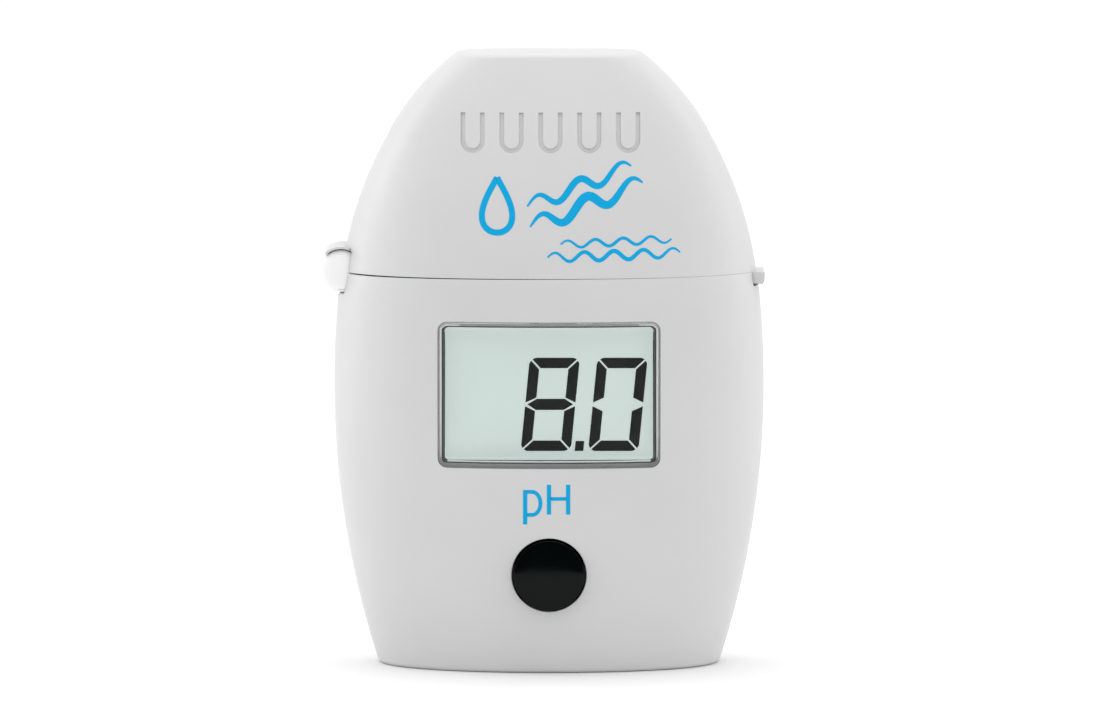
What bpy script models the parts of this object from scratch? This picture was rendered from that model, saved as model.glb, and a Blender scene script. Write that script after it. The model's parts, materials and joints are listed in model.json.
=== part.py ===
"""Handheld digital water tester: a hinged lid over a sample vial, a display, one button and a battery door.

The case stands on z = 0 with its front facing -Y. Lengths in this file are in millimetres until a
helper writes them to Blender, which works in metres.
"""

import math

import bmesh
import bpy
from mathutils import Matrix, Vector

MM = 0.001
GAP = 0.3  # clearance between neighbouring pieces

# Case outline: half-width and half-depth against height, as arcs
SEAM_Z = 55.2
TOP_Z = 86.0
WAIST_Z = 54.0
SHOULDER_Z = 75.0
BELLY_Z = 42.0
BELLY_DEPTH = 18.75
BELLY_RADIUS = 194.0
LID_BACK_LEAN = 0.062
LID_BACK_CURVE = 0.00664
EDGE_ROUND = 0.6
WALL = 1.9
LID_WALL = 1.8
BASE_WALL = 2.0
SPLIT_Y = 1.0  # parting plane of the two case shells
SIDES = 48
START_STEP = 0.02  # turns each section slightly, so that no point lies on a cutter's face

# Hinge on the left, its axis along Y
HINGE_X = -29.1
HINGE_Z = 55.4
PIN_R = 0.95
LUG_R = 2.85
LUG_IN = 2.5
LUG_OUT = 5.6
HOOD_R = 3.45

# Latch tab on the right
LATCH_OUT_X = 30.24
LATCH_IN_X = 28.35
LATCH_LOW_Z = 53.3
LATCH_HALF = 5.0

# Display
WINDOW_HALF_X = 15.45
WINDOW_LOW_Z = 29.0
WINDOW_HIGH_Z = 49.4
WINDOW_CORNER = 1.3
BOARD_FRONT_Y = -10.8
BOARD_THICK = 1.0

# Button
BUTTON_Z = 14.0
BUTTON_R = 4.95
BUTTON_FACE_Y = -17.5
FLANGE_R = 5.9
FLANGE_FRONT_Y = -14.3
FLANGE_BACK_Y = -13.6

# Sample vial and the light path through it
VIAL_Y = 2.6
VIAL_R = 11.0
VIAL_BOTTOM_Z = 22.1
NECK_R = 8.4
CAP_R = 10.6
CAP_LOW_Z = 57.6
CAP_TOP_Z = 67.0
HOLDER_R = 12.0
HOLDER_BORE_R = 11.3
HOLDER_LOW_Z = 20.6
LIGHT_Z = 34.0

# Battery
CELL_Y = 1.2
CELL_Z = 13.8
CELL_R = 5.25
CELL_HALF = 21.9
LEAD_R = 0.4
DOOR_HALF_X = 23.3
DOOR_LOW_Z = 7.7
DOOR_HIGH_Z = 19.9
DOOR_TONGUE_X = 4.0
DOOR_TONGUE_Z = 2.9
DOOR_SCREW_Z = 5.2

# Fasteners: (x, z) of each, all with their axes along Y
CASE_SCREWS = [(-20.5, 47.0), (20.5, 47.0), (-17.0, 4.9), (17.0, 4.9)]
BOARD_SCREWS = [(-12.2, 24.0), (12.2, 24.0), (-12.2, 10.4), (12.2, 10.4)]

for old in list(bpy.data.objects):
    bpy.data.objects.remove(old, do_unlink=True)

PARTS = bpy.data.collections.new("digital_water_tester")
CUTTERS = bpy.data.collections.new("cutters")
CUTTERS.hide_render = True
bpy.context.scene.collection.children.link(PARTS)
bpy.context.scene.collection.children.link(CUTTERS)


# ---------------------------------------------------------------- materials


def material(name, colour, roughness, metallic=0.0, alpha=1.0):
    mat = bpy.data.materials.new(name)
    mat.use_nodes = True
    shader = mat.node_tree.nodes["Principled BSDF"]
    shader.inputs["Base Color"].default_value = (*colour, 1.0)
    shader.inputs["Roughness"].default_value = roughness
    shader.inputs["Metallic"].default_value = metallic
    shader.inputs["Alpha"].default_value = alpha
    mat.diffuse_color = (*colour, alpha)
    return mat


WHITE = material("white_plastic", (0.80, 0.80, 0.80), 0.45)
BLACK = material("black_plastic", (0.02, 0.02, 0.02), 0.5)
GLOSS = material("button_plastic", (0.01, 0.012, 0.012), 0.12)
RUBBER = material("seal_rubber", (0.03, 0.03, 0.03), 0.8)
CLEAR = material("clear_window", (0.9, 0.93, 0.92), 0.05, 0.0, 0.35)
GLASS = material("vial_glass", (0.92, 0.96, 0.95), 0.03, 0.0, 0.35)
LCD = material("display_glass", (0.62, 0.69, 0.67), 0.2)
BOARD = material("green_board", (0.02, 0.16, 0.06), 0.45)
CHIP = material("chip_body", (0.02, 0.02, 0.022), 0.55)
STEEL = material("steel", (0.62, 0.62, 0.62), 0.3, 1.0)
LAMP = material("lamp_epoxy", (0.75, 0.86, 0.80), 0.1)
FILTER = material("filter_glass", (0.10, 0.35, 0.20), 0.08)
CELL = material("cell_sleeve", (0.10, 0.12, 0.14), 0.35)
RED = material("red_insulation", (0.55, 0.03, 0.02), 0.5)


# ------------------------------------------------------------ making solids


def add(name, mesh, mat, place=(0, 0, 0), turn=(0, 0, 0)):
    """Puts a mesh in the parts with its material, or in the cutters when it has none."""
    obj = bpy.data.objects.new(name, mesh)
    obj.location = Vector(place) * MM
    obj.rotation_euler = turn
    if mat is None:
        CUTTERS.objects.link(obj)
        obj.hide_render = True
        obj.display_type = "WIRE"
    else:
        PARTS.objects.link(obj)
        mesh.materials.append(mat)
    return obj


def mesh_of(bm, name):
    bm.transform(Matrix.Scale(MM, 4))
    mesh = bpy.data.meshes.new(name)
    bm.to_mesh(mesh)
    bm.free()
    return mesh


def box(name, low, high, mat=None, bevel=0.0):
    """A box between two corners, with its edges rounded by bevel."""
    low, high = Vector(low), Vector(high)
    bm = bmesh.new()
    bmesh.ops.create_cube(bm, size=1.0)
    bm.transform(Matrix.Diagonal((*(high - low), 1.0)))
    if bevel:
        bmesh.ops.bevel(bm, geom=bm.edges[:], offset=bevel, segments=2, affect="EDGES", profile=0.5)
    return add(name, mesh_of(bm, name), mat, (low + high) / 2)


def slab(name, half_x, low_z, high_z, low_y, high_y, corner, mat=None):
    """A block with rounded corners as seen from the front."""
    half_z = (high_z - low_z) / 2
    bm = bmesh.new()
    ring = []
    corners = [(half_x, half_z, 0), (-half_x, half_z, 90), (-half_x, -half_z, 180), (half_x, -half_z, 270)]
    for x, z, start in corners:
        mid_x = x - math.copysign(corner, x)
        mid_z = z - math.copysign(corner, z)
        for step in range(5):
            turn = math.radians(start + step * 22.5)
            ring.append((mid_x + corner * math.cos(turn), mid_z + corner * math.sin(turn)))
    half_y = (high_y - low_y) / 2
    front = bm.faces.new([bm.verts.new((x, -half_y, z)) for x, z in ring])
    grown = bmesh.ops.extrude_face_region(bm, geom=[front])
    moved = [v for v in grown["geom"] if isinstance(v, bmesh.types.BMVert)]
    bmesh.ops.translate(bm, verts=moved, vec=(0, 2 * half_y, 0))
    bmesh.ops.recalc_face_normals(bm, faces=bm.faces)
    return add(name, mesh_of(bm, name), mat, (0, low_y + half_y, low_z + half_z))


TURN_TO = {
    "X": (0, math.pi / 2, 0),
    "Y": (-math.pi / 2, 0, 0),
    "Z": (0, 0, 0),
}


def rod(name, axis, centre, low, high, radius, mat=None, sides=32, end_radius=None):
    """A cylinder or cone along an axis. centre gives the two other coordinates, in X, Y, Z order."""
    bm = bmesh.new()
    tip = radius if end_radius is None else end_radius
    bmesh.ops.create_cone(
        bm, cap_ends=True, segments=sides, radius1=radius, radius2=tip, depth=high - low
    )
    places = {
        "X": (0, centre[0], centre[1]),
        "Y": (centre[0], 0, centre[1]),
        "Z": (centre[0], centre[1], 0),
    }
    place = Vector(places[axis])
    place["XYZ".index(axis)] = (low + high) / 2
    return add(name, mesh_of(bm, name), mat, place, TURN_TO[axis])


def turned(name, centre, profile, mat, sides=40):
    """A solid turned about a vertical axis at centre.

    profile is its (radius, height) points, in the order that keeps the solid on their left.
    """
    mesh = bpy.data.meshes.new(name)
    rim = range(len(profile) - 1)
    mesh.from_pydata([(r * MM, 0, z * MM) for r, z in profile], [(i, i + 1) for i in rim], [])
    obj = add(name, mesh, mat, (*centre, 0))
    screw = obj.modifiers.new("turn", "SCREW")
    screw.steps = sides
    screw.render_steps = sides
    screw.use_merge_vertices = True
    screw.merge_threshold = 0.00001
    screw.use_normal_flip = True
    return obj


def wire(name, points, radius, mat):
    """A round wire through the given points."""
    curve = bpy.data.curves.new(name, "CURVE")
    curve.dimensions = "3D"
    curve.bevel_depth = radius * MM
    curve.bevel_resolution = 2
    curve.use_fill_caps = True
    spline = curve.splines.new("POLY")
    spline.points.add(len(points) - 1)
    for place, (x, y, z) in zip(spline.points, points):
        place.co = (x * MM, y * MM, z * MM, 1.0)
    obj = bpy.data.objects.new(name, curve)
    curve.materials.append(mat)
    PARTS.objects.link(obj)
    return obj


def combine(obj, other, operation):
    step = obj.modifiers.new(other.name, "BOOLEAN")
    step.operation = operation
    step.solver = "EXACT"
    step.object = other
    return obj


def cut(obj, *others):
    for other in others:
        combine(obj, other, "DIFFERENCE")
    return obj


def join(obj, *others):
    for other in others:
        combine(obj, other, "UNION")
    return obj


def keep(obj, other):
    return combine(obj, other, "INTERSECT")


def pivot(name, place, *members):
    """An empty on a joint's axis, which carries the pieces that move on that joint."""
    empty = bpy.data.objects.new(name, None)
    empty.location = Vector(place) * MM
    PARTS.objects.link(empty)
    bpy.context.view_layer.update()
    for member in members:
        obj = bpy.data.objects[member]
        obj.parent = empty
        obj.matrix_parent_inverse = empty.matrix_world.inverted()


# ------------------------------------------------------------- case outline


def half_width(z):
    if z <= WAIST_Z:
        return -95.68 + math.sqrt(125.96**2 - (z - 39.80) ** 2)
    if z <= SHOULDER_Z:
        return -25.71 + math.sqrt(55.51**2 - (z - 47.30) ** 2)
    return -8.38 + math.sqrt(35.28**2 - (z - 57.87) ** 2)


def half_depth(z):
    if z <= WAIST_Z:
        return BELLY_DEPTH - (z - BELLY_Z) ** 2 / (2 * BELLY_RADIUS)
    rise = z - WAIST_Z
    waist = BELLY_DEPTH - (WAIST_Z - BELLY_Z) ** 2 / (2 * BELLY_RADIUS)
    return waist - LID_BACK_LEAN * rise - LID_BACK_CURVE * rise**2


def roundness(z):
    """Exponent of the section's superellipse: 2 is an ellipse, and a larger one is squarer."""
    if z <= SEAM_Z:
        return 2.1 + 0.15 * z / SEAM_Z
    return 2.25 + 1.75 * ((z - SEAM_Z) / (TOP_Z - SEAM_Z)) ** 2


def section(z, inset):
    power = 2 / roundness(z)
    wide = half_width(z) - inset
    deep = half_depth(z) - inset
    points = []
    for step in range(SIDES):
        turn = 2 * math.pi * (step + START_STEP) / SIDES
        c, s = math.cos(turn), math.sin(turn)
        x = wide * math.copysign(abs(c) ** power, c)
        y = deep * math.copysign(abs(s) ** power, s)
        points.append((x, y, z))
    return points


def case_solid(name, inset, low_z, high_z, rows, mat=None, low_round=0.0, high_round=0.0):
    """The case's outline between two heights, drawn in by inset, with rounded bottom and top edges."""
    heights = [low_z + (high_z - low_z) * i / rows for i in range(rows + 1)]
    rings = [(z, inset) for z in heights]
    if low_round:
        rings[0:1] = [(low_z, inset + low_round), (low_z + 0.3 * low_round, inset + 0.3 * low_round)]
        rings.insert(2, (low_z + low_round, inset))
    if high_round:
        rings[-1:] = [(high_z - high_round, inset), (high_z - 0.3 * high_round, inset + 0.3 * high_round)]
        rings.append((high_z, inset + high_round))
    bm = bmesh.new()
    loops = [[bm.verts.new(p) for p in section(z, draw_in)] for z, draw_in in rings]
    for lower, upper in zip(loops, loops[1:]):
        for i in range(SIDES):
            j = (i + 1) % SIDES
            bm.faces.new((lower[i], lower[j], upper[j], upper[i]))
    bm.faces.new(loops[0][::-1])
    bm.faces.new(loops[-1])
    return add(name, mesh_of(bm, name), mat)


def case_skin(name, outer_inset, inner_inset, low_z, high_z, rows, mat=None):
    """A band of the case's wall between two insets."""
    band = case_solid(name, outer_inset, low_z, high_z, rows, mat)
    core = case_solid(name + "_core", inner_inset, low_z - 2, high_z + 2, rows)
    return cut(band, core)


# -------------------------------------------------------------- case shells


def hinge_hole(name, low_y, high_y, radius):
    return rod(name, "Y", (HINGE_X, HINGE_Z), low_y, high_y, radius)


def case_cavity():
    """The space inside the case, with the posts left standing for the screws and the button's collar."""
    cavity = case_solid("case_cavity", WALL, BASE_WALL, SEAM_Z + 6, 5)
    for i, (x, z) in enumerate(CASE_SCREWS):
        cut(cavity, rod(f"case_post_{i}", "Y", (x, z), -30, 30, 2.5, sides=20))
    for i, (x, z) in enumerate(BOARD_SCREWS):
        cut(cavity, rod(f"board_post_{i}", "Y", (x, z), -30, BOARD_FRONT_Y - GAP, 1.9, sides=16))
    cut(cavity, rod("door_post", "Y", (0, DOOR_SCREW_Z), 3.5, 30, 2.4, sides=20))
    cut(cavity, box("door_post_foot", (-2.4, 3.5, 0), (2.4, 30, DOOR_SCREW_Z)))
    return cavity


CASE_CAVITY = case_cavity()


def case_half(name, low_y, high_y, side):
    """The case's wall on one side of the parting plane, with its lug for the hinge. side is -1 in front."""
    shell = case_solid(name, 0.0, 0.0, SEAM_Z - GAP / 2, 8, WHITE, low_round=EDGE_ROUND)
    keep(shell, box(name + "_half", (-40, low_y, -5), (40, high_y, 70)))
    cut(shell, CASE_CAVITY)
    lug_y = sorted((side * LUG_IN, side * LUG_OUT))
    cut(shell, box(name + "_notch", (-35, -LUG_OUT - 0.3, 51.8), (-28.6, LUG_OUT + 0.3, 60)))
    cut(shell, hinge_hole(name + "_pocket", -LUG_IN, LUG_IN, HOOD_R + 0.1))
    lug = rod(name + "_lug", "Y", (HINGE_X, HINGE_Z), *lug_y, LUG_R)
    web_low = (HINGE_X, lug_y[0] + 0.05, 52.7)
    web = box(name + "_web", web_low, (-27.6, lug_y[1] - 0.05, 55.0))
    join(shell, join(lug, web))
    cut(shell, hinge_hole(name + "_pin_hole", -5.3, 5.3, PIN_R + 0.05))
    latch_low = (LATCH_IN_X - GAP, -LATCH_HALF - GAP, LATCH_LOW_Z - GAP)
    cut(shell, box(name + "_latch_recess", latch_low, (35, LATCH_HALF + GAP, 60)))
    return shell


def front_shell():
    shell = case_half("front_shell", -40, SPLIT_Y - GAP / 2, -1)
    hole = slab(
        "window_hole", WINDOW_HALF_X, WINDOW_LOW_Z, WINDOW_HIGH_Z, -30, -8, WINDOW_CORNER
    )
    cut(shell, hole)
    cut(shell, box("display_pocket", (-17.2, -14.9, 27.1), (17.2, -6, 51.3)))
    cut(shell, rod("button_hole", "Y", (0, BUTTON_Z), -30, -5, BUTTON_R + 0.25))
    cut(shell, rod("button_pocket", "Y", (0, BUTTON_Z), FLANGE_FRONT_Y - GAP, -5, FLANGE_R + GAP))
    for i, (x, z) in enumerate(CASE_SCREWS):
        cut(shell, rod(f"case_pilot_{i}", "Y", (x, z), -6.5, 2, 1.1, sides=16))
    for i, (x, z) in enumerate(BOARD_SCREWS):
        cut(shell, rod(f"board_pilot_{i}", "Y", (x, z), -12.6, -5, 0.75, sides=12))


def rear_shell():
    shell = case_half("rear_shell", SPLIT_Y + GAP / 2, 40, 1)
    half = DOOR_HALF_X + GAP
    cut(shell, box("door_hole", (-half, 4, DOOR_LOW_Z - GAP), (half, 40, DOOR_HIGH_Z + GAP)))
    tongue = DOOR_TONGUE_X + GAP
    cut(shell, box("door_tongue_hole", (-tongue, 12.6, DOOR_TONGUE_Z - GAP), (tongue, 40, 9)))
    for i, (x, z) in enumerate(CASE_SCREWS):
        cut(shell, rod(f"case_shank_{i}", "Y", (x, z), -2, 30, 1.2, sides=16))
        cut(shell, rod(f"case_head_{i}", "Y", (x, z), 6.0, 30, 2.05, sides=24))
    cut(shell, rod("door_pilot", "Y", (0, DOOR_SCREW_Z), 5.5, 30, 1.2, sides=16))
    label_hole = case_skin("label_hole", -1.0, 0.45, 24.0, 50.0, 4)
    keep(label_hole, slab("label_hole_edge", 15.3, 26.7, 47.3, 0, 30, 1.6))
    cut(shell, label_hole)


def rear_label():
    plate = case_skin("rear_label", 0.0, 0.15, 25.0, 49.0, 4, WHITE)
    keep(plate, slab("rear_label_edge", 15.0, 27.0, 47.0, 0, 30, 1.4))


def deck_plate():
    plate = case_solid("deck_plate", WALL + GAP, 53.4, 54.9, 1, WHITE)
    cut(plate, rod("deck_mouth", "Z", (0, VIAL_Y), 50, 60, 12.5, sides=40))
    cut(plate, hinge_hole("deck_hinge_room", -LUG_OUT - 0.4, LUG_OUT + 0.4, HOOD_R + 0.2))


def case_screws():
    for i, (x, z) in enumerate(CASE_SCREWS):
        name = f"case_screw_{i + 1}"
        shank = rod(name, "Y", (x, z), -6.0, 6.6, 0.8, STEEL, sides=12)
        join(shank, rod(name + "_head", "Y", (x, z), 6.3, 7.9, 1.75, sides=18))
        cut(shank, box(name + "_slot", (x - 1.2, 7.2, z - 0.2), (x + 1.2, 9, z + 0.2)))
        cut(shank, box(name + "_cross", (x - 0.2, 7.2, z - 1.2), (x + 0.2, 9, z + 1.2)))


# --------------------------------------------------------------------- lid


def lid_shell():
    low_z = SEAM_Z + GAP / 2
    lid = case_solid("lid_shell", 0.0, low_z, TOP_Z, 7, WHITE, high_round=0.45)
    cut(lid, case_solid("lid_cavity", LID_WALL, SEAM_Z - 6, TOP_Z - LID_WALL, 6))
    hood = rod("lid_hood", "Y", (HINGE_X, HINGE_Z), -LUG_OUT - 0.15, LUG_OUT + 0.15, HOOD_R)
    keep(hood, box("lid_hood_part", (-31.9, -7, 57.0), (-27.6, 7, 60)))
    knuckle = rod("lid_knuckle", "Y", (HINGE_X, HINGE_Z), -LUG_IN + GAP, LUG_IN - GAP, LUG_R + 0.1)
    join(lid, hood)
    for side in (-1, 1):
        span = sorted((side * (LUG_IN - 0.25), side * (LUG_OUT + 0.25)))
        cut(lid, hinge_hole(f"lid_lug_room_{side}", *span, LUG_R + 0.2))
    join(lid, knuckle)
    cut(lid, hinge_hole("lid_pin_hole", -10, 10, PIN_R + 0.05))
    tab = box(
        "latch_tab", (LATCH_IN_X, -LATCH_HALF, LATCH_LOW_Z), (LATCH_OUT_X, LATCH_HALF, 56.3)
    )
    join(lid, tab)
    return lid


def lid_gasket():
    ring = case_skin("lid_gasket", LID_WALL + GAP, LID_WALL + 1.7, 55.4, 56.4, 1, RUBBER)
    cut(ring, hinge_hole("gasket_hinge_room", -LUG_OUT - 0.6, LUG_OUT + 0.6, HOOD_R + 0.2))


def hinge_pin():
    rod("hinge_pin", "Y", (HINGE_X, HINGE_Z), -5.0, 5.0, PIN_R, STEEL, sides=32)


# ----------------------------------------------------------------- display


def display():
    lens = case_skin("display_window", 0.12, 1.25, 26.0, 52.0, 5, CLEAR)
    low_z, high_z = WINDOW_LOW_Z + 0.15, WINDOW_HIGH_Z - 0.15
    keep(lens, slab("lens_edge", WINDOW_HALF_X - 0.15, low_z, high_z, -30, 0, WINDOW_CORNER - 0.1))
    frame = box("display_frame", (-16.9, -14.6, 27.4), (16.9, -11.1, 51.0), BLACK)
    cut(frame, box("display_frame_view", (-14.7, -20, 29.5), (14.7, -10, 48.9)))
    cut(frame, box("display_frame_seat", (-16.2, -14.1, 28.0), (16.2, -10, 50.4)))
    box("display_front_glass", (-15.9, -13.8, 28.3), (15.9, -12.9, 50.1), LCD)
    box("display_rear_glass", (-15.9, -12.6, 29.8), (15.9, -11.8, 48.6), LCD)
    box("display_reflector", (-15.5, -11.5, 30.0), (15.5, -11.2, 48.4), STEEL)
    box("contact_strip_lower", (-13.5, -12.6, 28.4), (13.5, -11.1, 29.4), RUBBER)
    box("contact_strip_upper", (-13.5, -12.6, 49.0), (13.5, -11.1, 50.0), RUBBER)


# ------------------------------------------------------- board and key switch


def main_board():
    back = BOARD_FRONT_Y + BOARD_THICK
    board = box("main_board", (-14.3, BOARD_FRONT_Y, 8.0), (14.3, back, 51.5), BOARD)
    for i, (x, z) in enumerate(BOARD_SCREWS):
        cut(board, rod(f"board_hole_{i}", "Y", (x, z), -15, -5, 0.95, sides=16))
        name = f"board_screw_{i + 1}"
        screw = rod(name, "Y", (x, z), -12.2, back + 0.5, 0.6, STEEL, sides=12)
        join(screw, rod(name + "_head", "Y", (x, z), back + GAP, back + 1.2, 1.3, sides=20))
    box("microcontroller", (-8.5, back + GAP, 12.5), (-1.5, back + 1.4, 19.5), CHIP)
    box("quartz_crystal", (1.2, back + GAP, 16.4), (6.4, back + 2.0, 18.2), STEEL, bevel=0.4)
    rod("capacitor", "Y", (6.6, 12.2), back + GAP, back + 3.4, 2.0, CHIP, sides=24)


def key_switch():
    switch = box("key_switch", (-3.0, -12.4, 11.0), (3.0, -11.1, 17.0), CHIP)
    cut(switch, rod("switch_bore", "Y", (0, BUTTON_Z), -20, -11.25, 1.25, sides=24))
    rod("switch_plunger", "Y", (0, BUTTON_Z), FLANGE_BACK_Y + GAP, -12.0, 1.0, BLACK, sides=24)


def button_cap():
    """The cap and, behind the case wall, the flange that keeps it in."""
    back_y = FLANGE_FRONT_Y + 0.2
    cap = rod("button_cap", "Y", (0, BUTTON_Z), BUTTON_FACE_Y, back_y, BUTTON_R, GLOSS, sides=40)
    flange = rod("button_flange", "Y", (0, BUTTON_Z), FLANGE_FRONT_Y, FLANGE_BACK_Y, FLANGE_R)
    join(cap, flange)


# ------------------------------------------------------------ optical bench


def vial_holder():
    holder = rod("vial_holder", "Z", (0, VIAL_Y), HOLDER_LOW_Z, 53.1, HOLDER_R, BLACK, sides=40)
    join(holder, rod("holder_flange", "Z", (0, VIAL_Y), 51.9, 53.1, 13.2, sides=40))
    cut(holder, rod("holder_bore", "Z", (0, VIAL_Y), 21.8, 60, HOLDER_BORE_R, sides=40))
    cut(holder, rod("light_port", "X", (VIAL_Y, LIGHT_Z), -20, 20, 2.0, sides=24))
    cut(holder, rod("drain_hole", "Z", (0, VIAL_Y), 15, 30, 2.0, sides=16))
    ring = rod("mouth_seal", "Z", (0, VIAL_Y), 53.4, 54.9, 12.2, RUBBER, sides=40)
    cut(ring, rod("mouth_seal_bore", "Z", (0, VIAL_Y), 50, 60, 11.35, sides=40))


def light_path():
    axis = (VIAL_Y, LIGHT_Z)
    lamp = rod("lamp", "X", axis, -17.2, -14.2, 1.5, LAMP, sides=24)
    dome = rod("lamp_dome", "X", axis, -14.3, -12.8, 1.5, sides=24, end_radius=0.7)
    join(lamp, dome, rod("lamp_rim", "X", axis, -17.4, -16.6, 1.9, sides=24))
    box("lamp_board", (-18.7, -3.0, 27.0), (-17.7, 8.2, 41.0), BOARD)
    rod("light_filter", "X", axis, 12.7, 13.7, 2.8, FILTER, sides=32)
    ring = rod("filter_ring", "X", axis, 12.7, 15.2, 4.2, BLACK, sides=32)
    cut(ring, rod("filter_ring_bore", "X", axis, 10, 20, 3.1, sides=32))
    rod("photodetector", "X", axis, 14.0, 15.2, 2.6, STEEL, sides=32)
    box("detector_board", (15.5, -3.0, 27.0), (16.5, 8.2, 41.0), BOARD)
    lamp_route = [(-18.2, -3.8, 31), (-17.4, -6.6, 30.4), (-15.0, -8.6, 29.6), (-12.6, -9.1, 29)]
    wire("lamp_lead", lamp_route, LEAD_R, RED)
    detector_route = [(16.0, -3.8, 31), (15.6, -6.4, 30.4), (14.4, -8.4, 29.6), (12.6, -9.1, 29)]
    wire("detector_lead", detector_route, LEAD_R, CELL)


# -------------------------------------------------------------------- vial


def vial():
    wall = 1.1
    inner = VIAL_R - wall
    neck_in = NECK_R - 1.0
    outside = [(0, VIAL_BOTTOM_Z), (VIAL_R - 0.8, VIAL_BOTTOM_Z), (VIAL_R, VIAL_BOTTOM_Z + 0.8)]
    shoulder = [(VIAL_R, 54.2), (VIAL_R - 0.6, 55.6), (NECK_R, 57.0), (NECK_R, 62.4)]
    inside = [(neck_in, 62.4), (neck_in, 57.4), (inner - 0.4, 55.2), (inner, 54.0)]
    floor = [(inner, VIAL_BOTTOM_Z + 2.0), (inner - 0.7, VIAL_BOTTOM_Z + 1.3), (0, VIAL_BOTTOM_Z + 1.3)]
    turned("vial_glass", (0, VIAL_Y), outside + shoulder + inside + floor, GLASS, sides=40)
    plug = [(0, 60.4), (7.0, 60.4), (7.0, 62.8), (NECK_R - 0.1, 62.8), (NECK_R - 0.1, 63.6), (0, 63.6)]
    turned("vial_stopper", (0, VIAL_Y), plug, WHITE, sides=40)
    bore = NECK_R + 0.5
    skirt = [(0, 64.0), (bore, 64.0), (bore, CAP_LOW_Z), (CAP_R, CAP_LOW_Z)]
    crown = [(CAP_R, CAP_TOP_Z - 0.8), (CAP_R - 0.8, CAP_TOP_Z), (0, CAP_TOP_Z)]
    turned("vial_cap", (0, VIAL_Y), skirt + crown, BLACK, sides=40)


# ----------------------------------------------------------------- battery


def battery():
    axis = (CELL_Y, CELL_Z)
    cell = rod("battery_cell", "X", axis, -CELL_HALF, CELL_HALF - 0.7, CELL_R, CELL, sides=40)
    join(cell, rod("battery_nub", "X", axis, CELL_HALF - 1.0, CELL_HALF + 0.3, 1.9, sides=24))
    tray = box("battery_tray", (-21.4, -5.6, 8.1), (21.4, 1.0, 19.5), BLACK)
    cut(tray, rod("tray_trough", "X", axis, -30, 30, CELL_R + 0.3, sides=40))
    box("contact_plate", (22.6, -2.4, 10.6), (23.0, 4.4, 17.0), STEEL)
    turns, steps = 2.75, 10
    spring = []
    for i in range(int(turns * steps) + 1):
        part = i / (turns * steps)
        angle = 2 * math.pi * turns * part
        radius = 3.2 - 1.6 * part
        x = -23.5 + 1.1 * part
        spring.append((x, CELL_Y + radius * math.cos(angle), CELL_Z + radius * math.sin(angle)))
    wire("contact_spring", spring, 0.2, STEEL)
    plus = [(22.9, -3.1, 13), (21.8, -6.0, 12.8), (18.5, -8.4, 12.6), (15.4, -9.4, 12.4)]
    minus = [(-x, y, z) for x, y, z in plus]
    wire("battery_lead_plus", plus, LEAD_R, RED)
    wire("battery_lead_minus", minus, LEAD_R, CELL)


def battery_door():
    """The door is a piece of the rear wall, with a tongue below it for its screw."""
    door = case_skin("battery_door", 0.0, WALL, 1.0, 24.0, 4, WHITE)
    outline = box("door_outline", (-DOOR_HALF_X, 4.3, DOOR_LOW_Z), (DOOR_HALF_X, 40, DOOR_HIGH_Z))
    tongue = box("door_tongue", (-DOOR_TONGUE_X, 12.9, DOOR_TONGUE_Z), (DOOR_TONGUE_X, 40, 9))
    keep(door, join(outline, tongue))
    hole = rod("door_screw_hole", "Y", (0, DOOR_SCREW_Z), 5, 30, 1.2, sides=20)
    cut(door, hole, rod("door_screw_sink", "Y", (0, DOOR_SCREW_Z), 13.9, 30, 2.1, sides=24))
    screw = rod("door_screw", "Y", (0, DOOR_SCREW_Z), 6.2, 14.4, 0.85, STEEL, sides=20)
    join(screw, rod("door_screw_head", "Y", (0, DOOR_SCREW_Z), 14.15, 15.1, 1.8, sides=24))
    cut(screw, box("door_screw_slot", (-1.3, 14.7, DOOR_SCREW_Z - 0.22), (1.3, 16, DOOR_SCREW_Z + 0.22)))
    cut(screw, box("door_screw_cross", (-0.22, 14.7, DOOR_SCREW_Z - 1.3), (0.22, 16, DOOR_SCREW_Z + 1.3)))


front_shell()
rear_shell()
rear_label()
deck_plate()
case_screws()
lid_shell()
lid_gasket()
hinge_pin()
display()
main_board()
key_switch()
button_cap()
vial_holder()
light_path()
vial()
battery()
battery_door()

pivot("lid_pivot", (HINGE_X, 0, HINGE_Z), "lid_shell", "lid_gasket")
pivot("button_pivot", (0, BUTTON_FACE_Y, BUTTON_Z), "button_cap", "switch_plunger")
pivot("door_screw_pivot", (0, 14.5, DOOR_SCREW_Z), "door_screw")
pivot("battery_door_pivot", (0, 15, DOOR_SCREW_Z), "battery_door", "door_screw_pivot")
pivot("vial_stopper_pivot", (0, VIAL_Y, 60), "vial_stopper", "vial_cap")
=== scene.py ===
"""Looks of the digital water tester: smooth shells, display, printed marks and materials on the CAD frame.

Lengths are in millimetres, and a mesh is scaled to metres when it is made. Bump distances, and the places and
sizes of the lamps, are in metres.
"""

import json
import math

import bmesh
import bpy
from mathutils import Matrix, Vector


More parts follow.
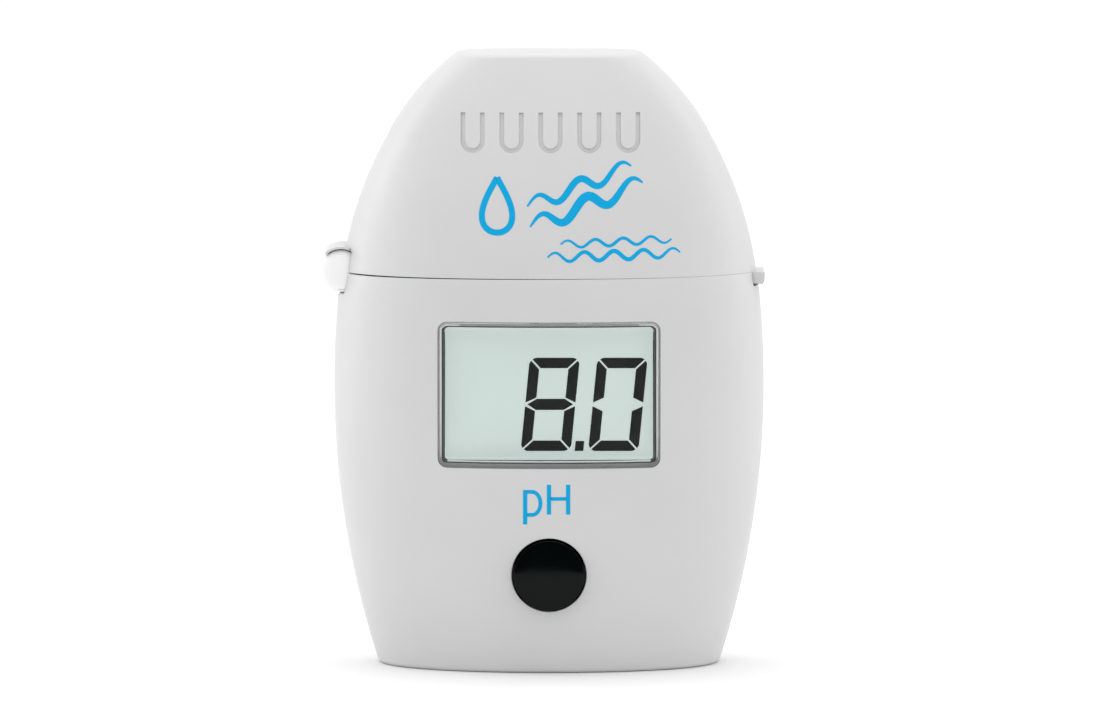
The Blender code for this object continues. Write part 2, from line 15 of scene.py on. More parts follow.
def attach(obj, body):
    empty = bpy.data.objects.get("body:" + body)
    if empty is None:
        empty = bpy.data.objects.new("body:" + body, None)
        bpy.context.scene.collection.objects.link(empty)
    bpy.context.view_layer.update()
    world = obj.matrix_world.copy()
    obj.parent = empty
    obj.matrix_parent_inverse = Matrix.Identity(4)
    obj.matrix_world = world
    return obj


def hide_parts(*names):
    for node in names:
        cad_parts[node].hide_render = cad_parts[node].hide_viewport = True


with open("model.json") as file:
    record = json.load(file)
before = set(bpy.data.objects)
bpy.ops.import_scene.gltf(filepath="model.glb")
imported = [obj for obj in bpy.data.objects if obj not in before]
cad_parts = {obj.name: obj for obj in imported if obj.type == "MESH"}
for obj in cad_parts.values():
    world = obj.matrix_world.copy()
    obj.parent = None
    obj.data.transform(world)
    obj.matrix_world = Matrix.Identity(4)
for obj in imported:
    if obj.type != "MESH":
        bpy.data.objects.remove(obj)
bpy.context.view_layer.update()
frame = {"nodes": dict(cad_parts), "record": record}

MM = 0.001

# The case's outline, as in the CAD: three arcs for its half-width, and a curve for its half-depth
SEAM_Z = 55.2
TOP_Z = 86.0
WAIST_Z = 54.0
SHOULDER_Z = 75.0
LOWER_ARC = (-95.68, 125.96, 39.80)  # centre x, radius and centre z, below the waist
UPPER_ARC = (-25.71, 55.51, 47.30)  # from the waist to the shoulder
CROWN_ARC = (-8.38, 35.28, 57.87)  # above the shoulder
FLARE = 0.22  # how much wider the foot is on each side than the arc
BELLY_Z = 42.0
BELLY_DEPTH = 18.75
BELLY_RADIUS = 194.0
LID_LEAN = 0.062  # how the half-depth shrinks above the waist, for each mm
LID_CURVE = 0.00664  # and for each square mm
FOOT_POWER = 2.1  # exponents of the outline seen from above, from an ellipse's 2 to a squarer 4
SEAM_POWER = 2.25
TOP_POWER = 4.0

# Walls, and the clearances between parts
WALL = 1.9
LID_WALL = 1.8
GAP = 0.3
SKIN = 0.09  # how far the smooth shells stay inside the CAD's outline
SPLIT_Y = 1.0
LID_LOW_Z = 55.42
CASE_HIGH_Z = LID_LOW_Z - 0.2
SEAM_CLOSING = 0.192  # how much of the seam's 0.2 mm opening is gone at the latch
FAR = 40.0  # past the case on every side
PAST_Y = 30.0  # past the case's front and back
ROUND_SIDES = 160  # points round a smooth shell
CAVITY_SIDES = 96

# Hinge, on the left
HINGE_X = -29.1
HINGE_Z = 55.4
HINGE_AXIS = (HINGE_X, 0, HINGE_Z)
LUG_AXIS = (HINGE_X, 0, 55.55)  # the lugs are drawn slightly above the pin
LUG_R = 2.94
LUG_ROOM_R = 3.12
LUG_LOW_Y = 2.5  # the end of a lug that faces the knuckle
KNUCKLE_HALF = 2.2
PIN_BORE_R = 1.0

# Front: button and window
BUTTON_Z = 14.0
BUTTON_HOLE_R = 5.2
WINDOW = (15.45, 29.0, 49.4, 1.3)  # half-width, lowest, highest, corner radius
LCD_FACE_Y = -13.8
HOLE_EDGE_R = 0.12

# Back: battery door with a tongue for its screw, case screws and label plate
DOOR_LOW = (-23.3, 4.3, 7.7)
DOOR_HIGH = (23.3, FAR, 19.9)
TONGUE_LOW = (-4.0, 12.9, 2.9)
TONGUE_HIGH = (4.0, FAR, 9.0)
DOOR_SCREW = (0, 0, 5.2)
CASE_SCREWS = ((-20.5, 47.0), (20.5, 47.0), (-17.0, 4.9), (17.0, 4.9))
SCREW_BORE_R = 1.2
LABEL_BOX = (15.0, 27.0, 47.0, 1.4)  # half-width, lowest, highest, corner radius
LABEL_RECESS = (15.3, 26.7, 47.3, 1.6)

# Vial
VIAL_Y = 2.6
VIAL_AXIS = (0, VIAL_Y, 0)

# Blue ink
INK_OUT = 0.02
INK_SINK = 0.02


def half_width(z):
    arc_x, radius, arc_z = LOWER_ARC if z <= WAIST_Z else UPPER_ARC if z <= SHOULDER_Z else CROWN_ARC
    return arc_x + math.sqrt(radius**2 - (z - arc_z) ** 2) + FLARE * max(0.0, 1 - z / BELLY_Z)


def half_depth(z):
    below = min(z, WAIST_Z)
    rise = z - below
    depth = BELLY_DEPTH - (below - BELLY_Z) ** 2 / (2 * BELLY_RADIUS)
    return depth - LID_LEAN * rise - LID_CURVE * rise**2


def roundness(z):
    if z <= SEAM_Z:
        return FOOT_POWER + (SEAM_POWER - FOOT_POWER) * z / SEAM_Z
    return SEAM_POWER + (TOP_POWER - SEAM_POWER) * ((z - SEAM_Z) / (TOP_Z - SEAM_Z)) ** 2


def section(z, inset, sides):
    """Points round the case's outline at a height, seen from above."""
    power = 2 / roundness(z)
    wide = half_width(z) - inset
    deep = half_depth(z) - inset
    ring = []
    for step in range(sides):
        turn = 2 * math.pi * step / sides
        c, s = math.cos(turn), math.sin(turn)
        x = wide * math.copysign(abs(c) ** power, c)
        ring.append((x, deep * math.copysign(abs(s) ** power, s), z))
    return ring


def skin_y(x, z, inset=SKIN, side=-1):
    """Y of the case's front (side -1) or back (side 1) surface at x and z."""
    wide = half_width(z) - inset
    deep = half_depth(z) - inset
    n = roundness(z)
    return side * deep * max(0.0, 1 - abs(x / wide) ** n) ** (1 / n)


# ---------------------------------------------------------------- materials

NOISE_LOW = 0.3  # most of a noise's values lie between these two
NOISE_HIGH = 0.7
SHADE_DRIFT = 0.965
DULL = 0.8
PLASTIC_GRAIN = 0.000004
GLOSS_GRAIN = 0.0000004
METAL_GRAIN = 0.000006
POLISH_RIPPLE = 0.000002
TRACK_HEIGHT = 0.00002


class Graph:
    """A material's node tree, with short calls that add one node each."""

    def __init__(self, name, colour, roughness, **sockets):
        self.mat = bpy.data.materials.new(name)
        self.mat.use_nodes = True
        self.nodes = self.mat.node_tree.nodes
        self.links = self.mat.node_tree.links
        self.shader = self.nodes["Principled BSDF"]
        self.shader.inputs["Base Color"].default_value = (*colour, 1.0)
        self.shader.inputs["Roughness"].default_value = roughness
        for socket, value in sockets.items():
            self.shader.inputs[socket.replace("_", " ")].default_value = value
        self.place = self.nodes.new("ShaderNodeTexCoord").outputs["Object"]

    def noise(self, scale, detail=3.0):
        node = self.nodes.new("ShaderNodeTexNoise")
        node.inputs["Scale"].default_value = scale
        node.inputs["Detail"].default_value = detail
        self.links.new(self.place, node.inputs["Vector"])
        return node.outputs["Fac"]

    def between(self, fac, low, high):
        """Maps a noise's usual range onto low to high."""
        node = self.nodes.new("ShaderNodeMapRange")
        node.inputs["From Min"].default_value = NOISE_LOW
        node.inputs["From Max"].default_value = NOISE_HIGH
        node.inputs["To Min"].default_value = low
        node.inputs["To Max"].default_value = high
        self.links.new(fac, node.inputs["Value"])
        return node.outputs["Result"]

    def ramp(self, fac, *stops):
        node = self.nodes.new("ShaderNodeValToRGB")
        bands = node.color_ramp.elements
        for band, (place, colour) in zip(bands, stops, strict=True):
            band.position = place
            band.color = (*colour, 1.0)
        self.links.new(fac, node.inputs["Fac"])
        return node.outputs["Color"]

    def colour(self, output):
        self.links.new(output, self.shader.inputs["Base Color"])

    def rough(self, output):
        self.links.new(output, self.shader.inputs["Roughness"])

    def bump(self, height, distance):
        node = self.nodes.new("ShaderNodeBump")
        node.inputs["Distance"].default_value = distance
        self.links.new(height, node.inputs["Height"])
        self.links.new(node.outputs["Normal"], self.shader.inputs["Normal"])


def moulded(name, colour, roughness, spread=0.05, grain=2600, depth=PLASTIC_GRAIN, **sockets):
    """Moulded plastic: a faint shade drift, uneven gloss and a fine spark-eroded grain."""
    g = Graph(name, colour, roughness, **sockets)
    darker = tuple(c * SHADE_DRIFT for c in colour)
    g.colour(g.ramp(g.noise(scale=60, detail=2.0), (NOISE_LOW, darker), (NOISE_HIGH, colour)))
    g.rough(g.between(g.noise(scale=240, detail=4.0), roughness - spread, roughness + spread))
    g.bump(g.noise(scale=grain, detail=2.0), depth)
    return g.mat


def metal(name, colour, roughness):
    """Plated metal with uneven polish and small stains."""
    g = Graph(name, colour, roughness, Metallic=1.0)
    stain = tuple(c * DULL for c in colour)
    g.colour(g.ramp(g.noise(scale=300, detail=5.0), (0.35, stain), (0.6, colour)))
    g.rough(g.between(g.noise(scale=900), roughness - 0.08, roughness + 0.12))
    g.bump(g.noise(scale=2700, detail=2.0), METAL_GRAIN)
    return g.mat


def board(name):
    """Solder-masked board: copper tracks show as paler, raised lines in the mask."""
    g = Graph(name, (0.02, 0.16, 0.06), 0.35)
    wave = g.nodes.new("ShaderNodeTexWave")
    wave.inputs["Scale"].default_value = 260
    wave.inputs["Distortion"].default_value = 3.5
    g.links.new(g.place, wave.inputs["Vector"])
    mask, track = (0.012, 0.10, 0.035), (0.03, 0.22, 0.08)
    g.colour(g.ramp(wave.outputs["Fac"], (0.45, mask), (0.6, track)))
    g.rough(g.between(g.noise(scale=500), 0.28, 0.42))
    g.bump(wave.outputs["Fac"], TRACK_HEIGHT)
    return g.mat


def clear(name, tint, ior, roughness=0.0):
    """Clear glass or acrylic, with a trace of uneven polish."""
    g = Graph(name, tint, roughness, IOR=ior, Transmission_Weight=1.0)
    g.bump(g.noise(scale=180, detail=1.0), POLISH_RIPPLE)
    return g.mat


def display_glass():
    """Liquid crystal glass: a grey-green field that is faintly uneven, under a satin polariser, with a faint
    glow that is painted light for the light the lens keeps off it.
    """
    # Painted light: the emission makes the display glow, though no lamp lights it from behind
    g = Graph("display_glass", (0.70, 0.78, 0.75), 0.35, Emission_Strength=0.70)
    g.shader.inputs["Emission Color"].default_value = (0.70, 0.79, 0.76, 1)
    dark, pale = (0.67, 0.75, 0.72), (0.72, 0.80, 0.77)
    g.colour(g.ramp(g.noise(scale=35, detail=1.0), (0.35, dark), (0.65, pale)))
    g.rough(g.between(g.noise(scale=900, detail=2.0), 0.28, 0.42))
    return g.mat


WHITE = moulded("white_plastic", (0.59, 0.59, 0.595), 0.42)
DECK_WHITE = moulded("deck_white", (0.66, 0.66, 0.66), 0.5)
BLACK = moulded("black_plastic", (0.025, 0.025, 0.026), 0.45)
GLOSS = moulded(
    "button_plastic", (0.0012, 0.0022, 0.0022), 0.06, spread=0.02, depth=GLOSS_GRAIN, IOR=1.22
)
RUBBER = moulded("seal_rubber", (0.03, 0.03, 0.03), 0.75, spread=0.1, grain=1800, depth=0.00001)
INK_BLUE = moulded("blue_ink", (0.002, 0.345, 0.65), 0.5, IOR=1.2)
# The segments glow faintly: painted light that lifts them above black
SEGMENT = moulded("segment_ink", (0.026, 0.029, 0.028), 0.7, IOR=1.15, Emission_Strength=0.017)
LABEL = moulded("label_film", (0.63, 0.64, 0.65), 0.3, spread=0.02)
# Whiter plastic for the hinge lugs, made paler still as a painted highlight for the left lamp's glare
PALE_HINGE_AND_GLARE = moulded("hinge_white_and_glare", (0.88, 0.88, 0.88), 0.4)
# The seat glows faintly: painted light for the light that the lens keeps off it
SEAT_GREY = moulded("seat_grey", (0.80, 0.81, 0.81), 0.5, Emission_Strength=0.06)
# Painted shadow: a near-black ring that stands in for the shadow gap inside the lens's rim
SHADOW_LIP = moulded("lip_painted_shadow", (0.10, 0.105, 0.105), 0.5)
# Painted highlight: a glowing white line for the light caught by the lens's edge
EDGE_HIGHLIGHT = moulded("painted_edge_highlight", (0.85, 0.86, 0.86), 0.35, Emission_Strength=0.5)
CHIP = moulded("chip_body", (0.02, 0.02, 0.022), 0.55, grain=4000, depth=0.000008)
EPOXY = moulded("lamp_epoxy", (0.75, 0.86, 0.80), 0.12)
SLEEVE = moulded("cell_sleeve", (0.05, 0.09, 0.14), 0.25)
RED = moulded("red_insulation", (0.50, 0.03, 0.02), 0.45)
STEEL = metal("steel", (0.62, 0.61, 0.59), 0.28)
BOARD = board("green_board")
WINDOW_CLEAR = clear("clear_window", (0.97, 0.985, 0.98), 1.49)
VIAL_CLEAR = clear("vial_glass", (0.97, 0.99, 0.98), 1.50)
FILTER = clear("filter_glass", (0.15, 0.55, 0.30), 1.52, 0.03)
LCD = display_glass()

SLOT_LOOKS = {
    "white_plastic": WHITE,
    "black_plastic": BLACK,
    "button_plastic": GLOSS,
    "seal_rubber": RUBBER,
    "clear_window": WINDOW_CLEAR,
    "vial_glass": VIAL_CLEAR,
    "display_glass": LCD,
    "green_board": BOARD,
    "chip_body": CHIP,
    "steel": STEEL,
    "lamp_epoxy": EPOXY,
    "filter_glass": FILTER,
    "cell_sleeve": SLEEVE,
    "red_insulation": RED,
}


def dress_frame():
    """Every CAD node gets the look of its record slot. The ones that are replaced later are hidden then."""
    for entry in frame["record"]["subparts"]:
        node = frame["nodes"][entry["node"]]
        node.data.materials.clear()
        node.data.materials.append(SLOT_LOOKS[entry["material_slot"]])


# ------------------------------------------------------------------- meshes

SMOOTH_TO = 35  # degrees: faces that meet at less than this shade as one surface
ROUND_STEPS = 5  # steps in a rounded edge
LIFT_REACH = 2.0
AXIS_TURN = {
    "X": Matrix.Rotation(math.pi / 2, 4, "Y"),
    "Y": Matrix.Rotation(-math.pi / 2, 4, "X"),
    "Z": Matrix.Identity(4),
}


def shade_smooth(mesh, smooth_to=SMOOTH_TO):
    for face in mesh.polygons:
        face.use_smooth = True
    mesh.set_sharp_from_angle(angle=math.radians(smooth_to))


def piece(name, bm, mat=None, smooth_to=SMOOTH_TO):
    """Makes an object from a mesh in millimetres."""
    bm.transform(Matrix.Scale(MM, 4))
    mesh = bpy.data.meshes.new(name)
    bm.to_mesh(mesh)
    bm.free()
    shade_smooth(mesh, smooth_to)
    obj = bpy.data.objects.new(name, mesh)
    bpy.context.scene.collection.objects.link(obj)
    if mat:
        mesh.materials.append(mat)
    return obj


def face_outwards(bm):
    bmesh.ops.recalc_face_normals(bm, faces=bm.faces)


def bridge(bm, lower, upper):
    """Joins two rings of vertices with a band of faces."""
    count = len(lower)
    for i in range(count):
        j = (i + 1) % count
        bm.faces.new((lower[i], lower[j], upper[j], upper[i]))


def skin_loops(bm, loops, cap_ends=True):
    """Joins rings of points, each with the same count, into a tube, and caps its ends."""
    rings = [[bm.verts.new(p) for p in loop] for loop in loops]
    for lower, upper in zip(rings, rings[1:]):
        bridge(bm, lower, upper)
    if cap_ends:
        bm.faces.new(rings[0][::-1])
        bm.faces.new(rings[-1])
    return rings


def quarter(steps=ROUND_STEPS):
    """Cosine and sine at even steps through a quarter turn."""
    turns = [math.pi / 2 * i / steps for i in range(steps + 1)]
    return [(math.cos(turn), math.sin(turn)) for turn in turns]


def outline_solid(
    name, inset, low_z, high_z, rows, sides=ROUND_SIDES, low_round=0.0, high_round=0.0, mat=None, lift=None
):
    """The case's outline between two heights, with rounded lower and upper edges.

    lift gives how far a point of the topmost LIFT_REACH is raised, from its x.
    """
    rings = []
    if low_round:
        rings += [(low_z + low_round * (1 - c), inset + low_round * (1 - s)) for c, s in quarter()[:-1]]
    start, end = low_z + low_round, high_z - high_round
    rings += [(start + (end - start) * i / rows, inset) for i in range(rows + 1)]
    if high_round:
        rings += [(high_z - high_round * (1 - s), inset + high_round * (1 - c)) for c, s in quarter()[1:]]
    bm = bmesh.new()
    skin_loops(bm, [section(z, draw_in, sides) for z, draw_in in rings])
    if lift:
        for v in bm.verts:
            v.co.z += lift(v.co.x) * max(0.0, 1 - (high_z - v.co.z) / LIFT_REACH)
    return piece(name, bm, mat)


def block(name, low, high, mat=None, round_by=0.0):
    low, high = Vector(low), Vector(high)
    bm = bmesh.new()
    bmesh.ops.create_cube(bm, size=1.0)
    bm.transform(Matrix.Translation((low + high) / 2) @ Matrix.Diagonal((*(high - low), 1.0)))
    if round_by:
        bmesh.ops.bevel(bm, geom=bm.edges[:], offset=round_by, segments=4, affect="EDGES", profile=0.5)
    return piece(name, bm, mat)


def grown_block(name, low, high, gap):
    """A block with gap added on every side but the far one, at high y."""
    x0, y0, z0 = low
    x1, y1, z1 = high
    return block(name, (x0 - gap, y0 - gap, z0 - gap), (x1 + gap, y1, z1 + gap))


def turned(name, axis, centre, profile, mat=None, sides=96, smooth_to=SMOOTH_TO):
    """A closed solid turned about an axis along X, Y or Z, from (radius, place along the axis) points.

    The points run along the outside in the axis's own direction. They start and end on the axis, or else
    they make a ring.
    """
    bm = bmesh.new()
    rings = []
    for radius, along in profile:
        if radius == 0:
            rings.append([bm.verts.new((0, 0, along))])
            continue
        turns = [2 * math.pi * i / sides for i in range(sides)]
        rings.append([bm.verts.new((radius * math.cos(t), radius * math.sin(t), along)) for t in turns])
    for lower, upper in zip(rings, rings[1:]):
        for i in range(sides):
            j = (i + 1) % sides
            from_low = (lower[i % len(lower)], lower[j % len(lower)])
            from_high = (upper[j % len(upper)], upper[i % len(upper)])
            bm.faces.new(list(dict.fromkeys(from_low + from_high)))
    if profile[0][0] and profile[-1][0]:
        bridge(bm, rings[-1], rings[0])
    bm.transform(Matrix.Translation(centre) @ AXIS_TURN[axis])
    return piece(name, bm, mat, smooth_to)


def cylinder(name, axis, centre, radius, low, high):
    return turned(name, axis, centre, [(0, low), (radius, low), (radius, high), (0, high)])


def boolean(obj, others, operation="DIFFERENCE"):
    """Applies one exact Boolean per tool and removes the tools."""
    for other in others:
        step = obj.modifiers.new("cut", "BOOLEAN")
        step.operation = operation
        step.solver = "EXACT"
        step.object = other
    bpy.context.view_layer.update()
    graph = bpy.context.evaluated_depsgraph_get()
    mesh = bpy.data.meshes.new_from_object(obj.evaluated_get(graph))
    obj.modifiers.clear()
    obj.data = mesh
    shade_smooth(mesh)
    for other in others:
        bpy.data.objects.remove(other)
    return obj


def merge(obj, *others):
    """Joins other pieces' faces into obj as they are."""
    bm = bmesh.new()
    bm.from_mesh(obj.data)
    for other in others:
        bm.from_mesh(other.data)
        bpy.data.objects.remove(other)
    bm.to_mesh(obj.data)
    bm.free()
    shade_smooth(obj.data)


# ------------------------------------------------- outlines seen from the front

CORNER_STEPS = 8
STRAIGHT_STEPS = 10


def line(start, end, count=8):
    (x0, z0), (x1, z1) = start, end
    return [(x0 + (x1 - x0) * i / count, z0 + (z1 - z0) * i / count) for i in range(count + 1)]


def arc(centre, radius, start, end, count=16, stretch=1.0):
    """Points on an arc, from start to end in degrees. stretch scales it across."""
    turns = [math.radians(start + (end - start) * i / count) for i in range(count + 1)]
    return [(centre[0] + radius * stretch * math.cos(t), centre[1] + radius * math.sin(t)) for t in turns]


def rounded_box(half_x, low_z, high_z, corner, offset=0.0):
    """Points round a rectangle with rounded corners, counter-clockwise, grown outwards by offset."""
    radius = max(corner + offset, 0.01)
    wide = half_x + offset
    low, high = low_z - offset, high_z + offset
    corners = []
    for x, z, start in ((wide, high, 0), (-wide, high, 90), (-wide, low, 180), (wide, low, 270)):
        centre = (x - math.copysign(radius, x), z - radius if z == high else z + radius)
        corners.append(arc(centre, radius, start, start + 90, CORNER_STEPS))
    points = []
    for bend, following in zip(corners, corners[1:] + corners[:1]):
        points += bend
        points += line(bend[-1], following[0], STRAIGHT_STEPS)[1:-1]
    return points


def circle(radius, centre_z, offset=0.0, count=96):
    turns = [2 * math.pi * i / count for i in range(count)]
    return [((radius + offset) * math.cos(t), centre_z + (radius + offset) * math.sin(t)) for t in turns]


def prism(name, outline, low_y, high_y):
    bm = bmesh.new()
    skin_loops(bm, [[(x, y, z) for x, z in outline] for y in (high_y, low_y)])
    return piece(name, bm)


def on_skin(outline, sink):
    """Points of an outline on the case's front, sunk straight back by sink."""
    return [(x, skin_y(x, z) + sink, z) for x, z in outline]


def rim(name, outline_at, radius, depth):
    """The rounded edge of a hole in the front and the wall below it, down to depth under the surface."""
    loops = [on_skin(outline_at(radius * (1 - s)), radius * (1 - c)) for c, s in quarter()]
    loops.append(on_skin(outline_at(0.0), depth))
    bm = bmesh.new()
    skin_loops(bm, loops, cap_ends=False)
    return piece(name, bm)


def ribbon(bm, points, width, out, sink, side=-1, inset=SKIN):
    """A stroke that follows the case's surface along points, standing out by out and sunk by sink.

    width is one number, or a function of the distance along the stroke from 0 to 1.
    """
    wide = width if callable(width) else (lambda part: width)
    loops = []
    count = len(points)
    for i, (x, z) in enumerate(points):
        before, after = points[max(i - 1, 0)], points[min(i + 1, count - 1)]
        along = Vector((after[0] - before[0], after[1] - before[1])).normalized()
        half = wide(i / (count - 1)) / 2
        ax, az = x - along.y * half, z + along.x * half
        bx, bz = x + along.y * half, z - along.x * half
        ay, by = skin_y(ax, az, inset, side), skin_y(bx, bz, inset, side)
        top = [(ax, ay + side * out, az), (bx, by + side * out, bz)]
        foot = [(bx, by - side * sink, bz), (ax, ay - side * sink, az)]
        loops.append(top + foot)
    skin_loops(bm, loops)
    face_outwards(bm)


def cutting_ribbon(name, points, width, out, sink, side=-1):
    """A ribbon as its own piece, to cut a groove with."""
    bm = bmesh.new()
    ribbon(bm, points, width, out, sink, side=side)
    return piece(name, bm)


# ------------------------------------------------------------- case and lid


def seam_lift(x):
    """How far the case's upper edge rises at x, so that the seam narrows from the hinge to the latch."""
    hinge_x, span, ease = -24.0, 48.0, 0.6
    part = min(1.0, max(0.0, (x - hinge_x) / span))
    return SEAM_CLOSING * part**ease


def band(name, outer, inner, low_z, high_z, rows, mat=None):
    """The case's wall between two insets and two heights."""
    shell = outline_solid(name, outer, low_z, high_z, rows, mat=mat)
    core = outline_solid(name + "_core", inner, low_z - 2, high_z + 2, rows)
    return boolean(shell, [core])


def case_wall(name, low_y, high_y, side):
    """One half of the case's wall, with rounded lower and upper edges and the web under its hinge lug."""
    shell = outline_solid(
        name, SKIN, 0.0, CASE_HIGH_Z, 60, low_round=0.6, high_round=0.07, mat=WHITE, lift=seam_lift
    )
    boolean(shell, [block(name + "_keep", (-FAR, low_y, -5), (FAR, high_y, 70))], "INTERSECT")
    cavity = outline_solid(name + "_cavity", WALL, 2.0, SEAM_Z + 6, 10, CAVITY_SIDES)
    notch = block(name + "_notch", (-35, -5.9, 52.3), (-28.6, 5.9, 60), round_by=0.3)
    pocket = cylinder(name + "_pocket", "Y", HINGE_AXIS, 3.55, -LUG_LOW_Y, LUG_LOW_Y)
    latch_recess = block(name + "_recess", (28.13, -5.22, 53.42), (35, 5.22, 60))
    boolean(shell, [cavity, notch, pocket, latch_recess])
    low, high = sorted((side * 2.6, side * 5.4))
    boolean(shell, [block(name + "_web", (-29.5, low, 52.9), (-27.6, high, 55.0))], "UNION")
    return shell


def hinge_lug(name, side):
    """One of the case's two hinge lugs: a pale disc with a softly rounded outer end. Its paleness is partly a
    whiter plastic and partly a painted highlight for the left lamp's glare.
    """
    high_y, tip_y = 5.6, 5.68
    edge, bulge, slope = 0.25, 1.3, 0.75
    profile = [(0, LUG_LOW_Y), (LUG_R - edge, LUG_LOW_Y), (LUG_R, LUG_LOW_Y + edge)]
    profile += [(LUG_R - bulge * (1 - c), high_y - slope * (1 - s)) for c, s in quarter(8)]
    profile.append((0, tip_y))
    profile = [(radius, side * along) for radius, along in profile]
    if side < 0:
        profile = profile[::-1]
    lug = turned(name, "Y", LUG_AXIS, profile, PALE_HINGE_AND_GLARE)
    boolean(lug, [cylinder(name + "_bore", "Y", HINGE_AXIS, PIN_BORE_R, -5.3, 5.3)])
    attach(lug, "case")


def window_outline(offset=0.0):
    return rounded_box(*WINDOW, offset=offset)


def button_outline(offset=0.0):
    return circle(BUTTON_HOLE_R, BUTTON_Z, offset)


def front_case():
    shell = case_wall("front_case", -FAR, SPLIT_Y - GAP / 2, -1)
    hole_back_y = -8
    holes = [
        prism("window_cut", window_outline(HOLE_EDGE_R), -PAST_Y, hole_back_y),
        prism("button_cut", button_outline(HOLE_EDGE_R), -PAST_Y, hole_back_y),
        block("display_room", (-17.2, -14.9, 27.1), (17.2, -6, 51.3)),
    ]
    boolean(shell, holes)
    window_rim = rim("window_rim", window_outline, HOLE_EDGE_R, 1.9)
    button_rim = rim("button_rim", button_outline, HOLE_EDGE_R, 1.6)
    merge(shell, window_rim, button_rim)
    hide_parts("front_shell")
    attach(shell, "case")


def label_recess():
    """The shallow pocket for the label plate, cut from the back's outer surface."""
    depth = 0.45
    recess = outline_solid("label_cut", -1.0, 24.0, 50.0, 14, 128)
    core = outline_solid("label_core", depth, 22.0, 52.0, 14, 128)
    boolean(recess, [core])
    edge = prism("label_edge", rounded_box(*LABEL_RECESS), 0, PAST_Y)
    return boolean(recess, [edge], "INTERSECT")


def back_case():
    shell = case_wall("back_case", SPLIT_Y + GAP / 2, FAR, 1)
    post_r, head_r, head_y = 2.5, 2.05, 6.0
    door_post_r, door_post_y = 2.4, (3.5, 14.0)
    cuts = [
        grown_block("door_cut", DOOR_LOW, DOOR_HIGH, GAP),
        grown_block("tongue_cut", TONGUE_LOW, TONGUE_HIGH, GAP),
        label_recess(),
    ]
    posts = []
    for x, z in CASE_SCREWS:
        centre = (x, 0, z)
        end_y = skin_y(x, z, side=1) - 0.5
        posts.append(cylinder(f"post_{x}_{z}", "Y", centre, post_r, 1.2, end_y))
        cuts.append(cylinder(f"head_{x}_{z}", "Y", centre, head_r, head_y, PAST_Y))
        cuts.append(cylinder(f"shank_{x}_{z}", "Y", centre, SCREW_BORE_R, -2, PAST_Y))
    posts.append(cylinder("door_post", "Y", DOOR_SCREW, door_post_r, *door_post_y))
    boolean(shell, posts, "UNION")
    cuts.append(cylinder("door_bore", "Y", DOOR_SCREW, SCREW_BORE_R, 5.5, PAST_Y))
    boolean(shell, cuts)
    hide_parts("rear_shell")
    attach(shell, "case")


def battery_door():
    """A band of the case's wall with a tongue for its screw, and seven grip grooves."""
    door = band("battery_cover", SKIN, WALL, 1.0, 24.0, 20, mat=WHITE)
    tongue = block("cover_low", TONGUE_LOW, TONGUE_HIGH, round_by=0.25)
    wide = block("cover_wide", DOOR_LOW, DOOR_HIGH, round_by=0.3)
    boolean(wide, [tongue], "UNION")
    boolean(door, [wide], "INTERSECT")
    head_r, head_y = 2.1, 13.9
    bore = [(0, 5), (SCREW_BORE_R, 5), (SCREW_BORE_R, head_y), (head_r, head_y), (head_r, 30), (0, 30)]
    cuts = [turned("cover_hole", "Y", DOOR_SCREW, bore)]
    half, low, pitch = 6.0, 10.2, 1.2
    for i in range(7):
        z = low + pitch * i
        cuts.append(cutting_ribbon(f"grip_{i}", line((-half, z), (half, z), 16), 0.5, 0.5, 0.3, side=1))
    boolean(door, cuts)
    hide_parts("battery_door")
    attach(door, "battery_door")


def label():
    outer_inset, inner_inset = 0.08, 0.27
    plate = band("label_plate", outer_inset, inner_inset, 25.0, 49.0, 20, mat=LABEL)
    boolean(plate, [prism("plate_edge", rounded_box(*LABEL_BOX), 0, PAST_Y)], "INTERSECT")
    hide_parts("rear_label")
    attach(plate, "case")


def vial_marks():
    """Centre lines of five small vial outlines, open at the top, for the sunken row on the lid."""
    first_x, pitch = -10.6, 5.4
    top, bottom, half = 78.2, 73.0, 1.35
    bowl_z = bottom + half
    marks = []
    for i in range(5):
        x = first_x + pitch * i
        down = line((x - half, top), (x - half, bowl_z))
        bowl = arc((x, bowl_z), half, 180, 360, 14)
        up = line((x + half, bowl_z), (x + half, top))
        marks.append(down + bowl[1:-1] + up)
    return marks


def lid_hood():
    """The thin curved strap that covers the hinge lugs from above."""
    outer_r, half = 3.42, 5.75
    profile = [(LUG_ROOM_R, -half), (outer_r, -half), (outer_r, half), (LUG_ROOM_R, half)]
    hood = turned("hood", "Y", LUG_AXIS, profile, sides=160)
    return boolean(hood, [block("hood_keep", (-31.3, -7, 57.5), (-27.9, 7, 60))], "INTERSECT")


def lid():
    shell = outline_solid("lid_cover", SKIN, LID_LOW_Z, TOP_Z, 60, low_round=0.06, high_round=0.45, mat=WHITE)
    cavity = outline_solid("lid_room", LID_WALL, SEAM_Z - 6, TOP_Z - LID_WALL, 20, CAVITY_SIDES)
    boolean(shell, [cavity])
    boolean(shell, [lid_hood()], "UNION")
    room_low, room_high = 2.25, 5.85
    rooms = []
    for side in (-1, 1):
        low, high = sorted((side * room_low, side * room_high))
        rooms.append(cylinder(f"lug_room_{side}", "Y", LUG_AXIS, LUG_ROOM_R, low, high))
    boolean(shell, rooms)
    knuckle = cylinder("knuckle", "Y", HINGE_AXIS, LUG_R, -KNUCKLE_HALF, KNUCKLE_HALF)
    boolean(shell, [knuckle], "UNION")
    boolean(shell, [cylinder("knuckle_bore", "Y", HINGE_AXIS, PIN_BORE_R, -10, 10)])
    boolean(shell, [latch_tab()], "UNION")
    width, out, sink = 0.62, 0.6, 0.32
    marks = enumerate(vial_marks())
    boolean(shell, [cutting_ribbon(f"mark_{i}", path, width, out, sink) for i, path in marks])
    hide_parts("lid_shell")
    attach(shell, "lid")


